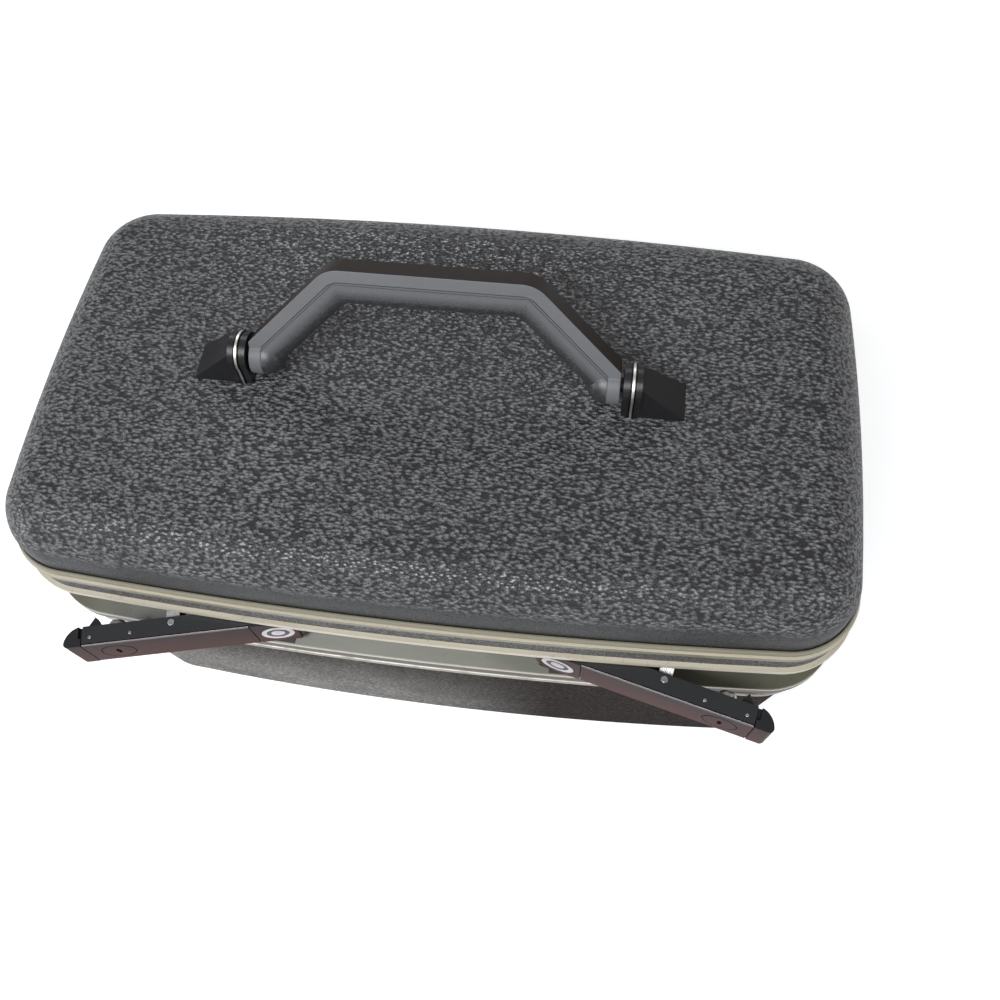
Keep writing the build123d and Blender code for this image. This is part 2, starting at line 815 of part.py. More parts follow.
# Rivet that joins link and lever
with BuildPart() as link_rivet:
    with BuildSketch(lever_plane.offset(lever_low - pin_head_height)):
        with Locations((rivet_x, rivet_y)):
            Circle(link_rivet_radius)
    extrude(amount=lever_height + 2 * pin_head_height)
    for level in (lever_low - pin_head_height, lever_top):
        with BuildSketch(lever_plane.offset(level)):
            with Locations((rivet_x, rivet_y)):
                Circle(link_rivet_head)
        extrude(amount=pin_head_height)
save_pair(link_rivet.part, "link_rivet")

# Keeper on the lid that the link's nose passes over
keeper_level = base_height + tongue_height + keeper_tongue_gap
keeper_y = -side_line(keeper_end) - frame_inner + keeper_face_gap
shelf_level = link_top - link_height - nose_gap
with BuildPart() as latch_keeper:
    block(
        (keeper_start, keeper_end),
        (-case_depth / 2, -side_line(keeper_end) + shell_wall + keeper_thickness),
        (keeper_level, keeper_top),
    )
    block(
        (keeper_start, keeper_end),
        (-case_depth / 2, keeper_y + keeper_thickness),
        (keeper_level, keeper_level + keeper_thickness),
    )
    block(
        (keeper_start, keeper_end),
        (keeper_y, keeper_y + keeper_thickness),
        (shelf_level - shelf_plate, keeper_level + keeper_thickness),
    )
    block(
        (keeper_start - keeper_reach, keeper_end),
        (keeper_y, keeper_y + keeper_back),
        (shelf_level - shelf_plate, shelf_level),
    )
    prism(
        case_outline(-shell_wall - fit_gap),
        shelf_level - shelf_plate,
        keeper_top,
        mode=Mode.INTERSECT,
    )
save_pair(latch_keeper.part, "latch_keeper")

# Handle brackets: an arched collar that runs out into a wedge
pivot_z = case_height + pivot_height


def arch(grow=0.0):
    """Arched profile of the collar, seen along the pivot, moved outwards by grow."""
    with BuildSketch() as profile:
        with BuildLine():
            half = bracket_width / 2 + grow
            side = arch_side_width / 2 + grow
            Line((-half, 0), (half, 0))
            Line((half, 0), (side, arch_side_height))
            ThreePointArc((side, arch_side_height), (0, arch_height + grow), (-side, arch_side_height))
            Line((-side, arch_side_height), (-half, 0))
        make_face()
    return profile.sketch


def arch_block(start, end, grow=0.0, mode=Mode.ADD):
    """Arched block between two distances from the middle of the lid."""
    with BuildSketch(Plane(origin=(start, 0, case_height), x_dir=(0, 1, 0), z_dir=(1, 0, 0))) as face:
        add(arch(grow))
    extrude(face.sketch, amount=end - start, mode=mode)


with BuildPart() as handle_bracket:
    arch_block(collar_start, shoulder_end)
    arch_block(ring_start, ring_start + ring_width, grow=1.0, mode=Mode.SUBTRACT)
    arch_block(ring_start, ring_start + ring_width, grow=-ring_depth)
    with BuildSketch(Plane(origin=(shoulder_end, 0, case_height), x_dir=(0, 1, 0), z_dir=(1, 0, 0))):
        with BuildLine():
            foot = bracket_width / 2
            top = shoulder_width / 2
            Polyline((-foot, 0), (foot, 0), (top, shoulder_height), (-top, shoulder_height), close=True)
        make_face()
    with BuildSketch(Plane(origin=(bracket_outer, 0, case_height), x_dir=(0, 1, 0), z_dir=(1, 0, 0))):
        with BuildLine():
            tip = wedge_tip_width / 2
            Line((-tip, 0), (tip, 0))
            Line((tip, 0), (tip - 0.3, wedge_tip_height / 2))
            Line((tip - 0.3, wedge_tip_height / 2), (-tip + 0.3, wedge_tip_height / 2))
            Line((-tip + 0.3, wedge_tip_height / 2), (-tip, 0))
        make_face()
    loft(ruled=True)
    with BuildSketch(Plane(origin=(collar_start, 0, pivot_z), x_dir=(0, 1, 0), z_dir=(1, 0, 0))):
        Circle(pivot_pin_radius + fit_gap)
    extrude(amount=shoulder_end - collar_start, mode=Mode.SUBTRACT)
    with BuildSketch(Plane.XY.offset(case_height)):
        with Locations(*screw_places):
            Circle(screw_radius + fit_gap)
    extrude(amount=screw_bite, mode=Mode.SUBTRACT)
save_pair(handle_bracket.part, "handle_bracket")

# Bright ring let into each bracket
with BuildPart() as bracket_ring:
    inset = fit_gap
    arch_block(ring_start + inset, ring_start + ring_width - inset, grow=ring_proud)
    arch_block(ring_start, ring_start + ring_width, grow=-ring_depth + fit_gap, mode=Mode.SUBTRACT)
save_pair(bracket_ring.part, "bracket_ring")

# Pivot pins of the handle
boss_end = collar_start - boss_gap
seam_x = boss_end - handle_band
boss_start = handle_corner + handle_rise - handle_width * sqrt(2)
pin_start = boss_start + pin_cover
with BuildPart() as handle_pins:
    for side in (-1, 1):
        start = Plane(origin=(side * pin_start, 0, pivot_z), x_dir=(0, 1, 0), z_dir=(side, 0, 0))
        with BuildSketch(start):
            Circle(pivot_pin_radius)
        extrude(amount=shoulder_end - pin_start - fit_gap)
save(handle_pins.part, "handle_pins")

# Screws and plates under the brackets
plate_top = case_height - shell_wall
plate_low = plate_top - plate_thickness
with BuildPart() as bracket_plates:
    with BuildSketch(Plane.XY.offset(plate_low)):
        plate_middle = (bracket_outer + ring_start) / 2
        with Locations((plate_middle, 0), (-plate_middle, 0)):
            RectangleRounded(plate_length, plate_width, 2)
        with Locations(*all_screw_places):
            Circle(screw_radius + fit_gap, mode=Mode.SUBTRACT)
    extrude(amount=plate_thickness)
save(bracket_plates.part, "bracket_plates")

with BuildPart() as bracket_screws:
    with BuildSketch(Plane.XY.offset(plate_low - screw_head_height)):
        with Locations(*all_screw_places):
            Circle(screw_head_radius)
    extrude(amount=screw_head_height)
    with BuildSketch(Plane.XY.offset(plate_low)):
        with Locations(*all_screw_places):
            Circle(screw_radius)
    extrude(amount=plate_thickness + shell_wall + screw_bite - fit_gap)
save(bracket_screws.part, "bracket_screws")

# Handle: an arch with sloping legs that leans back about the pivot
handle_plane = Plane(
    origin=(0, 0, pivot_z),
    x_dir=(1, 0, 0),
    z_dir=(0, -sin(radians(handle_tilt)), cos(radians(handle_tilt))),
)


def leg_points(inset, end_x):
    """Outer line of the arch moved inwards by inset: its bend and the foot of its leg."""
    bend = (handle_corner - inset * (sqrt(2) - 1), handle_rise - inset)
    foot = (end_x, handle_corner + handle_rise - inset * sqrt(2) - end_x)
    return bend, foot


def handle_plan(outer, inner, outer_end, inner_end, outer_radius, inner_radius):
    """Band of the arch between two insets, with both legs brought down to the pivot line."""
    outer_bend, outer_foot = leg_points(outer, outer_end)
    inner_bend, inner_foot = leg_points(inner, inner_end)
    right = [outer_bend, outer_foot, (outer_end, 0), (inner_end, 0)]
    if inner_foot[1] > fit_gap:
        right.append(inner_foot)
    right.append(inner_bend)
    left = [(-x, y) for x, y in reversed(right)]
    with BuildSketch() as plan:
        with BuildLine():
            Polyline(*right, *left, close=True)
        make_face()
        bends = plan.vertices().group_by(Axis.Y)
        fillet(bends[-1], radius=outer_radius)
        inner_bends = [v for v in plan.vertices() if abs(v.Y - inner_bend[1]) < fit_gap]
        fillet(inner_bends, radius=inner_radius)
    return plan.sketch


def pivot_block(near, far, radius, mode=Mode.ADD):
    """Two round blocks about the pivot line, mirrored left and right."""
    for side in (-1, 1):
        start = Plane(origin=(side * near, 0, pivot_z), x_dir=(0, 1, 0), z_dir=(side, 0, 0))
        with BuildSketch(start) as end:
            Circle(radius)
        extrude(end.sketch, amount=far - near, mode=mode)


with BuildPart() as handle_shell:
    with BuildSketch(handle_plane.offset(-handle_thickness / 2)):
        add(
            handle_plan(
                0,
                handle_band,
                boss_end,
                seam_x,
                handle_corner_radius,
                handle_corner_radius - handle_band,
            )
        )
    extrude(amount=handle_thickness)
    pivot_block(seam_x, boss_end, boss_radius)
    pivot_block(seam_x - 1, boss_end + 1, pivot_pin_radius + running_gap, mode=Mode.SUBTRACT)
save(handle_shell.part, "handle_shell")


def on_inner_edge(edge):
    """Whether an edge of the grip runs along its inner side, facing the hand."""
    place = handle_plane.to_local_coords(edge.center())
    from_top = handle_rise - place.Y
    from_leg = (handle_corner + handle_rise - abs(place.X) - place.Y) / sqrt(2)
    inset = min(from_top, from_leg)
    on_face = abs(abs(place.Z) - handle_thickness / 2) < fit_gap
    return on_face and inset > handle_width - 1


# Rounded grip on the inside of the arch
with BuildPart() as grip_ends:
    pivot_block(boss_start, seam_x - fit_gap, boss_radius - 3 * fit_gap)
    end_edges = grip_ends.edges().filter_by(
        lambda edge: abs(abs(edge.center().X) - boss_start) < fit_gap
        and edge.geom_type == GeomType.CIRCLE
    )
    fillet(end_edges, radius=grip_end_radius)

with BuildPart() as handle_grip:
    with BuildSketch(handle_plane.offset(-handle_thickness / 2)):
        add(
            handle_plan(
                handle_band + fit_gap,
                handle_width,
                seam_x - fit_gap,
                boss_start,
                handle_corner_radius - handle_band,
                inner_corner_radius,
            )
        )
    extrude(amount=handle_thickness)
    fillet(handle_grip.edges().filter_by(on_inner_edge), radius=grip_edge_radius)
    add(grip_ends.part)
    with BuildSketch(handle_plane.offset(-boss_radius)) as band_space:
        add(
            handle_plan(
                0,
                handle_band + fit_gap,
                boss_end,
                seam_x - fit_gap,
                handle_corner_radius,
                handle_corner_radius - handle_band,
            )
        )
    extrude(band_space.sketch, amount=2 * boss_radius, mode=Mode.SUBTRACT)
    pivot_block(pin_start - 4 * fit_gap, seam_x, pivot_pin_radius + running_gap, mode=Mode.SUBTRACT)
save(handle_grip.part, "handle_grip")

# Hinges: two leaves with their knuckles and one pin each
knuckle_length = (hinge_width - 2 * knuckle_gap) / 3
lid_leaf_low = hinge_z + leaf_thickness * 3 / 4
base_leaf_top = hinge_z - knuckle_radius - hinge_clearance
base_leaf_low = base_rivet_z - 1.6 * rivet_head_radius


def knuckle(middle, length, radius, mode=Mode.ADD):
    """Round block along the hinge line."""
    start = Plane(origin=(middle - length / 2, hinge_y, hinge_z), x_dir=(0, 1, 0), z_dir=(1, 0, 0))
    with BuildSketch(start) as end:
        Circle(radius)
    extrude(end.sketch, amount=length, mode=mode)


with BuildPart() as lid_hinge_leaves:
    for side in (-1, 1):
        middle = side * hinge_spacing / 2
        leaf_span = (middle - hinge_width / 2, middle + hinge_width / 2)
        knuckle_span = (middle - knuckle_length / 2, middle + knuckle_length / 2)
        leaf_range = (lid_leaf_y, lid_leaf_y + leaf_thickness)
        block(leaf_span, leaf_range, (lid_leaf_low, lid_leaf_low + lid_leaf_height))
        bridge_range = (lid_leaf_low, hinge_z + knuckle_radius)
        block(knuckle_span, (lid_leaf_y, hinge_y), bridge_range)
        knuckle(middle, knuckle_length, knuckle_radius)
        knuckle(middle, hinge_width, hinge_pin_radius + running_gap, mode=Mode.SUBTRACT)
    cross_holes(lid_rivet_z, rivet_radius + fit_gap, hole_start, hinge_y)
save(lid_hinge_leaves.part, "lid_hinge_leaves")

with BuildPart() as base_hinge_leaves:
    for side in (-1, 1):
        middle = side * hinge_spacing / 2
        leaf_span = (middle - hinge_width / 2, middle + hinge_width / 2)
        leaf_range = (base_leaf_y, base_leaf_y + leaf_thickness)
        block(leaf_span, leaf_range, (base_leaf_low, base_leaf_top))
        for step in (-1, 1):
            place = middle + step * (knuckle_length + knuckle_gap)
            knuckle_span = (place - knuckle_length / 2, place + knuckle_length / 2)
            block(knuckle_span, (base_leaf_y, hinge_y), (base_leaf_top - leaf_thickness, hinge_z))
            knuckle(place, knuckle_length, knuckle_radius)
        knuckle(middle, 2 * hinge_width, hinge_pin_radius + running_gap, mode=Mode.SUBTRACT)
    cross_holes(base_rivet_z, rivet_radius + fit_gap, hole_start, hinge_y)
save(base_hinge_leaves.part, "base_hinge_leaves")

with BuildPart() as hinge_pins:
    for side in (-1, 1):
        knuckle(side * hinge_spacing / 2, hinge_width, hinge_pin_radius)
save(hinge_pins.part, "hinge_pins")

# Rivets that hold the leaves
outer_rivet = hinge_spacing / 2 + rivet_spacing / 2
inner_rivet = hinge_spacing / 2 - rivet_spacing / 2
lid_rivet_end = side_line(outer_rivet + rivet_head_radius, -shell_wall) - fit_gap
with BuildPart() as lid_hinge_rivets:
    near = lid_rivet_end - rivet_head_height
    far = lid_leaf_y + leaf_thickness
    cross_holes(lid_rivet_z, rivet_radius, near, far, mode=Mode.ADD)
    cross_holes(lid_rivet_z, rivet_head_radius, near, lid_rivet_end, mode=Mode.ADD)
    cross_holes(lid_rivet_z, rivet_head_radius, far, far + rivet_head_height, mode=Mode.ADD)
save(lid_hinge_rivets.part, "lid_hinge_rivets")

base_rivet_end = side_line(inner_rivet, -shell_wall) + 4 * fit_gap
with BuildPart() as base_hinge_rivets:
    far = base_leaf_y + leaf_thickness
    cross_holes(base_rivet_z, rivet_radius, base_rivet_end, far, mode=Mode.ADD)
    cross_holes(base_rivet_z, rivet_head_radius, far, far + rivet_head_height, mode=Mode.ADD)
save(base_hinge_rivets.part, "base_hinge_rivets")

# Lift-out tray and the ledges that carry it
tray_top = shelf_under - tray_drop
tray_low = tray_top - tray_height
tray_depth = tray_front + tray_back
tray_centre = (0, (tray_back - tray_front) / 2)
with BuildPart() as tray:
    with BuildSketch(Plane.XY.offset(tray_low)):
        with Locations(tray_centre):
            RectangleRounded(tray_length, tray_depth, tray_corner_radius)
    extrude(amount=tray_height)
    with BuildSketch(Plane.XY.offset(tray_low + tray_wall)) as wells:
        with Locations(tray_centre):
            RectangleRounded(
                tray_length - 2 * tray_wall,
                tray_depth - 2 * tray_wall,
                tray_corner_radius - tray_wall,
            )
        for side in (-1, 1):
            with Locations((side * tray_divider, tray_centre[1])):
                Rectangle(tray_wall, tray_depth, mode=Mode.SUBTRACT)
    extrude(wells.sketch, amount=tray_height, mode=Mode.SUBTRACT)
save(tray.part, "tray")

with BuildPart() as tray_ledges:
    ledge_inset = -(base_lining_inset + lining_thickness + soft_gap)
    prism(body_outline(tray_low - ledge_thickness, ledge_inset), tray_low - ledge_thickness, tray_low)
    block(
        (-tray_length / 2 + ledge_reach, tray_length / 2 - ledge_reach),
        (-case_depth, case_depth),
        (0, tray_low + 1),
        mode=Mode.SUBTRACT,
    )
    block(
        (-case_length, case_length),
        (-ledge_length / 2, ledge_length / 2),
        (0, tray_low),
        mode=Mode.INTERSECT,
    )
save(tray_ledges.part, "tray_ledges")
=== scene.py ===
"""Cosmetic train case: finishes, linings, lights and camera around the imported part."""

import logging
import math
from dataclasses import dataclass, field
from enum import Enum

import bmesh
import bpy
from mathutils import Matrix, Vector


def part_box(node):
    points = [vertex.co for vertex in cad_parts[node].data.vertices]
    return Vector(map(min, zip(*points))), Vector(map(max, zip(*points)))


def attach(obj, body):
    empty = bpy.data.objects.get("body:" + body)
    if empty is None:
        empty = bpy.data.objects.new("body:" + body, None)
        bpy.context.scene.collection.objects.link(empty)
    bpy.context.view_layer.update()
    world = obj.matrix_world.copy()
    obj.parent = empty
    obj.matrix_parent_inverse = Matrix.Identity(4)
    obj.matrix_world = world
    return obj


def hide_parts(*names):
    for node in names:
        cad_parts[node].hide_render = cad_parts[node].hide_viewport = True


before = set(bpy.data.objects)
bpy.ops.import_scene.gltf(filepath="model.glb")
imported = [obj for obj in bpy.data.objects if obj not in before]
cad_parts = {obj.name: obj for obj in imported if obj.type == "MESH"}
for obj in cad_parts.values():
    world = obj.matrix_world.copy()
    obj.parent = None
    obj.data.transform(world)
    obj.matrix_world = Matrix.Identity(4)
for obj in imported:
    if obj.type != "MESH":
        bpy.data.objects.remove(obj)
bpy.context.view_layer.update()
MM = 0.001
MERGE_DISTANCE = 0.01 * MM
SLIVER_WIDTH = 0.25 * MM
SLIVER_EDGE = 0.1 * MM
FLAT_ANGLE = math.radians(0.6)
log = logging.getLogger("train_case")


class Side(Enum):
    """Left or right half of the case, with its sign along X."""

    LEFT = -1
    RIGHT = 1

    @property
    def suffix(self) -> str:
        """Ending of the names of this side's pieces."""
        return self.name.lower()


class Value:
    """A node socket that takes part in Python arithmetic."""

    def __init__(self, graph: "Graph", socket: bpy.types.NodeSocket) -> None:
        """Wraps a socket.

        Args:
            graph: node graph that the socket is in.
            socket: output socket of a node.
        """
        self.graph = graph
        self.socket = socket

    def _math(self, operation: str, first: object, second: object = 0.0) -> "Value":
        """Adds one Math node and returns its result."""
        made = self.graph.node("ShaderNodeMath", {"operation": operation}, {0: first, 1: second})
        return Value(self.graph, made.outputs[0])

    def __add__(self, other: object) -> "Value":
        """Sum."""
        return self._math("ADD", self, other)

    def __radd__(self, other: object) -> "Value":
        """Sum with a number in front."""
        return self._math("ADD", other, self)

    def __sub__(self, other: object) -> "Value":
        """Difference."""
        return self._math("SUBTRACT", self, other)

    def __rsub__(self, other: object) -> "Value":
        """Difference with a number in front."""
        return self._math("SUBTRACT", other, self)

    def __mul__(self, other: object) -> "Value":
        """Product."""
        return self._math("MULTIPLY", self, other)

    def __rmul__(self, other: object) -> "Value":
        """Product with a number in front."""
        return self._math("MULTIPLY", other, self)

    def __truediv__(self, other: object) -> "Value":
        """Quotient."""
        return self._math("DIVIDE", self, other)

    def __pow__(self, other: object) -> "Value":
        """Power."""
        return self._math("POWER", self, other)

    def __abs__(self) -> "Value":
        """Distance from zero."""
        return self._math("ABSOLUTE", self)

    def lesser(self, other: "Value") -> "Value":
        """Smaller of two values.

        Args:
            other: the other value.

        Returns:
            The smaller one.
        """
        return self._math("MINIMUM", self, other)

    def wave(self) -> "Value":
        """Sine."""
        return self._math("SINE", self)

    def limited(self) -> "Value":
        """Value held between 0 and 1."""
        return self._math("MINIMUM", self._math("MAXIMUM", self, 0.0), 1.0)

    def rise(self, low: float, high: float) -> "Value":
        """Ramp from 0 at low to 1 at high.

        Args:
            low: value where the ramp starts.
            high: value where the ramp ends.

        Returns:
            The ramp, held between 0 and 1.
        """
        return ((self - low) * (1.0 / (high - low))).limited()


class Graph:
    """Node graph of one material."""

    def __init__(self, name: str) -> None:
        """Starts a material.

        Args:
            name: name of the material.
        """
        self.material = bpy.data.materials.new(name)
        self.material.use_nodes = True
        self.tree = self.material.node_tree
        self.shader = self.tree.nodes["Principled BSDF"]
        self.place = self.node("ShaderNodeTexCoord").outputs["Object"]

    def feed(self, socket: bpy.types.NodeSocket, value: object) -> None:
        """Sets or links one input socket.

        Args:
            socket: input socket.
            value: number, colour, socket or wrapped value.
        """
        if isinstance(value, Value):
            value = value.socket
        if isinstance(value, bpy.types.NodeSocket):
            self.tree.links.new(value, socket)
        else:
            socket.default_value = value

    def node(
        self, kind: str, settings: dict | None = None, inputs: dict | None = None
    ) -> bpy.types.Node:
        """Adds one node.

        Args:
            kind: type name of the node.
            settings: properties of the node; stops sets the stops of a ramp.
            inputs: values or links of its input sockets, by name or number.

        Returns:
            The new node.
        """
        made = self.tree.nodes.new(kind)
        for key, value in (settings or {}).items():
            if key == "stops":
                ramp = made.color_ramp
                while len(ramp.elements) < len(value):
                    ramp.elements.new(0.5)
                for element, (place, color) in zip(ramp.elements, value):
                    element.position = place
                    element.color = (*color, 1.0)
            else:
                setattr(made, key, value)
        for key, value in (inputs or {}).items():
            self.feed(made.inputs[key], value)
        return made

    def axis(self, letter: str) -> Value:
        """One coordinate of the shaded point.

        Args:
            letter: X, Y or Z.

        Returns:
            The coordinate in metres.
        """
        split = self.node("ShaderNodeSeparateXYZ", None, {0: self.place})
        return Value(self, split.outputs[letter])

    def stretched(self, scale: tuple, turn: tuple = (0.0, 0.0, 0.0)) -> bpy.types.NodeSocket:
        """Object coordinates stretched and turned.

        Args:
            scale: scale along each axis.
            turn: rotation in degrees.

        Returns:
            The mapped coordinates.
        """
        angles = tuple(math.radians(a) for a in turn)
        mapped = self.node(
            "ShaderNodeMapping", None, {"Vector": self.place, "Scale": scale, "Rotation": angles}
        )
        return mapped.outputs[0]

    def noise(
        self,
        scale: float,
        detail: float = 2.0,
        twist: float = 0.0,
        rough: float = 0.5,
        vector: bpy.types.NodeSocket | None = None,
    ) -> Value:
        """Soft noise.

        Args:
            scale: cells per metre.
            detail: number of octaves.
            twist: distortion.
            rough: share of each finer octave.
            vector: coordinates, or those of the object.

        Returns:
            Noise around 0.5.
        """
        made = self.node(
            "ShaderNodeTexNoise",
            None,
            {
                "Vector": vector or self.place,
                "Scale": scale,
                "Detail": detail,
                "Distortion": twist,
                "Roughness": rough,
            },
        )
        return Value(self, made.outputs["Fac"])

    def cells(self, scale: float, vector: bpy.types.NodeSocket | None = None) -> Value:
        """Distance to the middle of rounded cells.

        Args:
            scale: cells per metre.
            vector: coordinates, or those of the object.

        Returns:
            Distance, 0 in the middle of a cell.
        """
        made = self.node(
            "ShaderNodeTexVoronoi",
            {"feature": "SMOOTH_F1"},
            {"Vector": vector or self.place, "Scale": scale, "Smoothness": 0.6},
        )
        return Value(self, made.outputs["Distance"])

    def blend(self, share: object, first: object, second: object) -> bpy.types.NodeSocket:
        """Mix of two colours.

        Args:
            share: share of the second colour.
            first: colour or link.
            second: colour or link.

        Returns:
            The mixed colour.
        """
        made = self.node("ShaderNodeMix", {"data_type": "RGBA"})
        self.feed(made.inputs["Factor"], share)
        self.feed(made.inputs[6], first if not isinstance(first, tuple) else (*first, 1.0))
        self.feed(made.inputs[7], second if not isinstance(second, tuple) else (*second, 1.0))
        return made.outputs[2]

    def relief(self, height: Value, depth: float, strength: float = 1.0) -> None:
        """Gives the surface a relief.

        Args:
            height: relief between 0 and 1.
            depth: height of 1 in metres.
            strength: share of the relief that shows.
        """
        bump = self.node(
            "ShaderNodeBump", None, {"Height": height, "Distance": depth, "Strength": strength}
        )
        self.feed(self.shader.inputs["Normal"], bump.outputs[0])


@dataclass(frozen=True)
class Finish:
    """Plain moulded or painted finish with a fine grain."""

    name: str
    color: tuple
    roughness: float = 0.5
    metallic: float = 0.0
    coat: float = 0.0
    specular: float = 0.5
    grain: float = 900.0
    depth: float = 0.00004
    mottle: float = 0.12

    def build(self) -> bpy.types.Material:
        """Makes the material.

        Returns:
            The finished material.
        """
        graph = Graph(self.name)
        sockets = graph.shader.inputs
        sockets["Metallic"].default_value = self.metallic
        sockets["Coat Weight"].default_value = self.coat
        sockets["Coat Roughness"].default_value = 0.06
        sockets["Specular IOR Level"].default_value = self.specular
        sockets["Roughness"].default_value = self.roughness
        self.pattern(graph)
        return graph.material

    def shade(self, factor: float) -> tuple:
        """Colour of the finish made lighter or darker."""
        return tuple(min(1.0, c * factor) for c in self.color)

    def pattern(self, graph: Graph) -> None:
        """Fine grain, soft mottling and uneven gloss.

        Args:
            graph: node graph of the material.
        """
        fine = graph.noise(self.grain, 3.0, 0.3)
        cloud = graph.noise(28.0, 3.0)
        share = (cloud * 0.6 + fine * 0.4).rise(0.3, 0.7)
        color = graph.blend(share, self.shade(1 - self.mottle), self.shade(1 + self.mottle))
        graph.feed(graph.shader.inputs["Base Color"], color)
        gloss = self.roughness - 0.06 + cloud * 0.07 + fine * 0.05
        graph.feed(graph.shader.inputs["Roughness"], gloss.limited())
        graph.relief(fine, self.depth)


@dataclass(frozen=True)
class LeatherGrain(Finish):
    """Moulded leather grain: coarse wrinkles above a level and fine grain below it."""

    light: tuple = (0.27, 0.27, 0.278)
    level: float = 0.19
    fade: float = 0.004
    coarse_scale: float = 940.0
    coarse_depth: float = 0.002
    fine_depth: float = 0.0003
    fine_scale: float = 900.0
    crest_highlight_tone: float = 0.85
    dust_tone: float = 0.5
    painted_reflection_strength: float = 0.0

    def pattern(self, graph: Graph) -> None:
        """Pebbles and wrinkles drawn out along the length, lighter on their crests: partly wear,
        partly a painted highlight.

        Args:
            graph: node graph of the material.
        """
        long_way = graph.stretched((0.55, 1.0, 1.0), (0.0, 0.0, 5.0))
        waves = graph.noise(self.coarse_scale, 1.0, 0.9, 0.5, long_way)
        wrinkle = 1.0 - abs(waves - 0.5) * 7.0
        pebble = 1.0 - graph.cells(self.coarse_scale * 0.85, long_way) * 1.3
        pores = graph.noise(self.coarse_scale * 1.9, 1.0, 0.3)
        raised = pebble * 0.95 + pores * 0.35 - wrinkle.limited() * 0.22
        crest = raised.rise(0.17, 0.62)
        dust = graph.noise(self.fine_scale, 2.0, 0.4, 0.55).rise(0.42, 0.62)
        drift = graph.noise(60.0, 2.0) * 0.004
        mask = (graph.axis("Z") + drift).rise(self.level, self.level + self.fade)
        share = self.fine_depth / self.coarse_depth
        relief = raised.rise(0.1, 0.7) * mask + dust * (1.0 - mask) * share
        graph.relief(relief, self.coarse_depth)
        cloud = graph.noise(9.0, 3.0).rise(0.3, 0.7)
        # Crests painted lighter: partly wear of use, partly a painted highlight standing in for
        # lamp glints.
        crest_highlight_and_dust = crest * mask * self.crest_highlight_tone + dust * (1.0 - mask) * self.dust_tone
        tone = crest_highlight_and_dust * (0.75 + cloud * 0.25)
        color = graph.blend(tone.limited(), self.color, self.light)
        # Painted reflection of the floor, laid over the grain on the front of the body.
        if self.painted_reflection_strength:
            speckled_reflection = self.painted_floor_reflection(graph) * (0.6 + dust * 0.6)
            color = graph.blend(speckled_reflection.limited(), color, self.light)
        graph.feed(graph.shader.inputs["Base Color"], color)
        gloss = self.roughness + 0.08 - crest * mask * 0.15 + cloud * 0.05
        graph.feed(graph.shader.inputs["Roughness"], gloss.limited())

    def painted_floor_reflection(self, graph: Graph) -> Value:
        """Painted reflection of the pale floor, low on the front of the body.

        Args:
            graph: node graph of the material.

        Returns:
            Share of the painted reflection, strongest low down and left of the middle.
        """
        low = 1.0 - graph.axis("Z").rise(0.03, 0.112)
        left = 1.0 - graph.axis("X").rise(-0.03, 0.06)
        front = 1.0 - graph.axis("Y").rise(-0.09, -0.06)
        uneven = graph.noise(30.0, 3.0).rise(0.2, 0.8) * 0.5 + 0.5
        return (low * left * front * uneven * self.painted_reflection_strength).limited()


@dataclass(frozen=True)
class GripMould(Finish):
    """Fine-grained grip with a groove that runs beside the seam of the arch."""

    tilt: float = 62.4
    pivot: float = 0.2134
    rise_height: float = 0.0462
    corner: float = 0.0435
    groove: float = 0.0066
    groove_width: float = 0.00022

    def inset(self, graph: Graph) -> Value:
        """Distance inwards from the outer line of the arch.

        Args:
            graph: node graph of the material.

        Returns:
            The distance in metres.
        """
        lean = math.radians(self.tilt)
        upward = graph.axis("Y") * math.cos(lean) + (graph.axis("Z") - self.pivot) * math.sin(lean)
        from_top = self.rise_height - upward
        from_leg = (self.corner + self.rise_height - abs(graph.axis("X")) - upward) * math.sqrt(0.5)
        return from_top.lesser(from_leg)

    def pattern(self, graph: Graph) -> None:
        """Fine grain, with painted shade growing darker towards the inner side, and the dark
        groove.

        Args:
            graph: node graph of the material.
        """
        inset = self.inset(graph)
        fine = graph.noise(self.grain, 3.0, 0.3)
        cut = 1.0 - (abs(inset - self.groove) * (1.0 / self.groove_width)).limited()
        # Painted shade: the grip grows darker towards its rounded inner side.
        inner_shade = inset.rise(0.0085, 0.0125)
        wear_and_shade = graph.blend(inner_shade, self.color, self.shade(0.22))
        speck = graph.blend(fine.rise(0.45, 0.75) * 0.3, wear_and_shade, self.shade(1.6))
        graph.feed(graph.shader.inputs["Base Color"], graph.blend(cut * 0.85, speck, (0.006,) * 3))
        graph.feed(graph.shader.inputs["Roughness"], (self.roughness + fine * 0.1).limited())
        graph.relief(fine * 0.5 - cut * 2.0, self.depth)


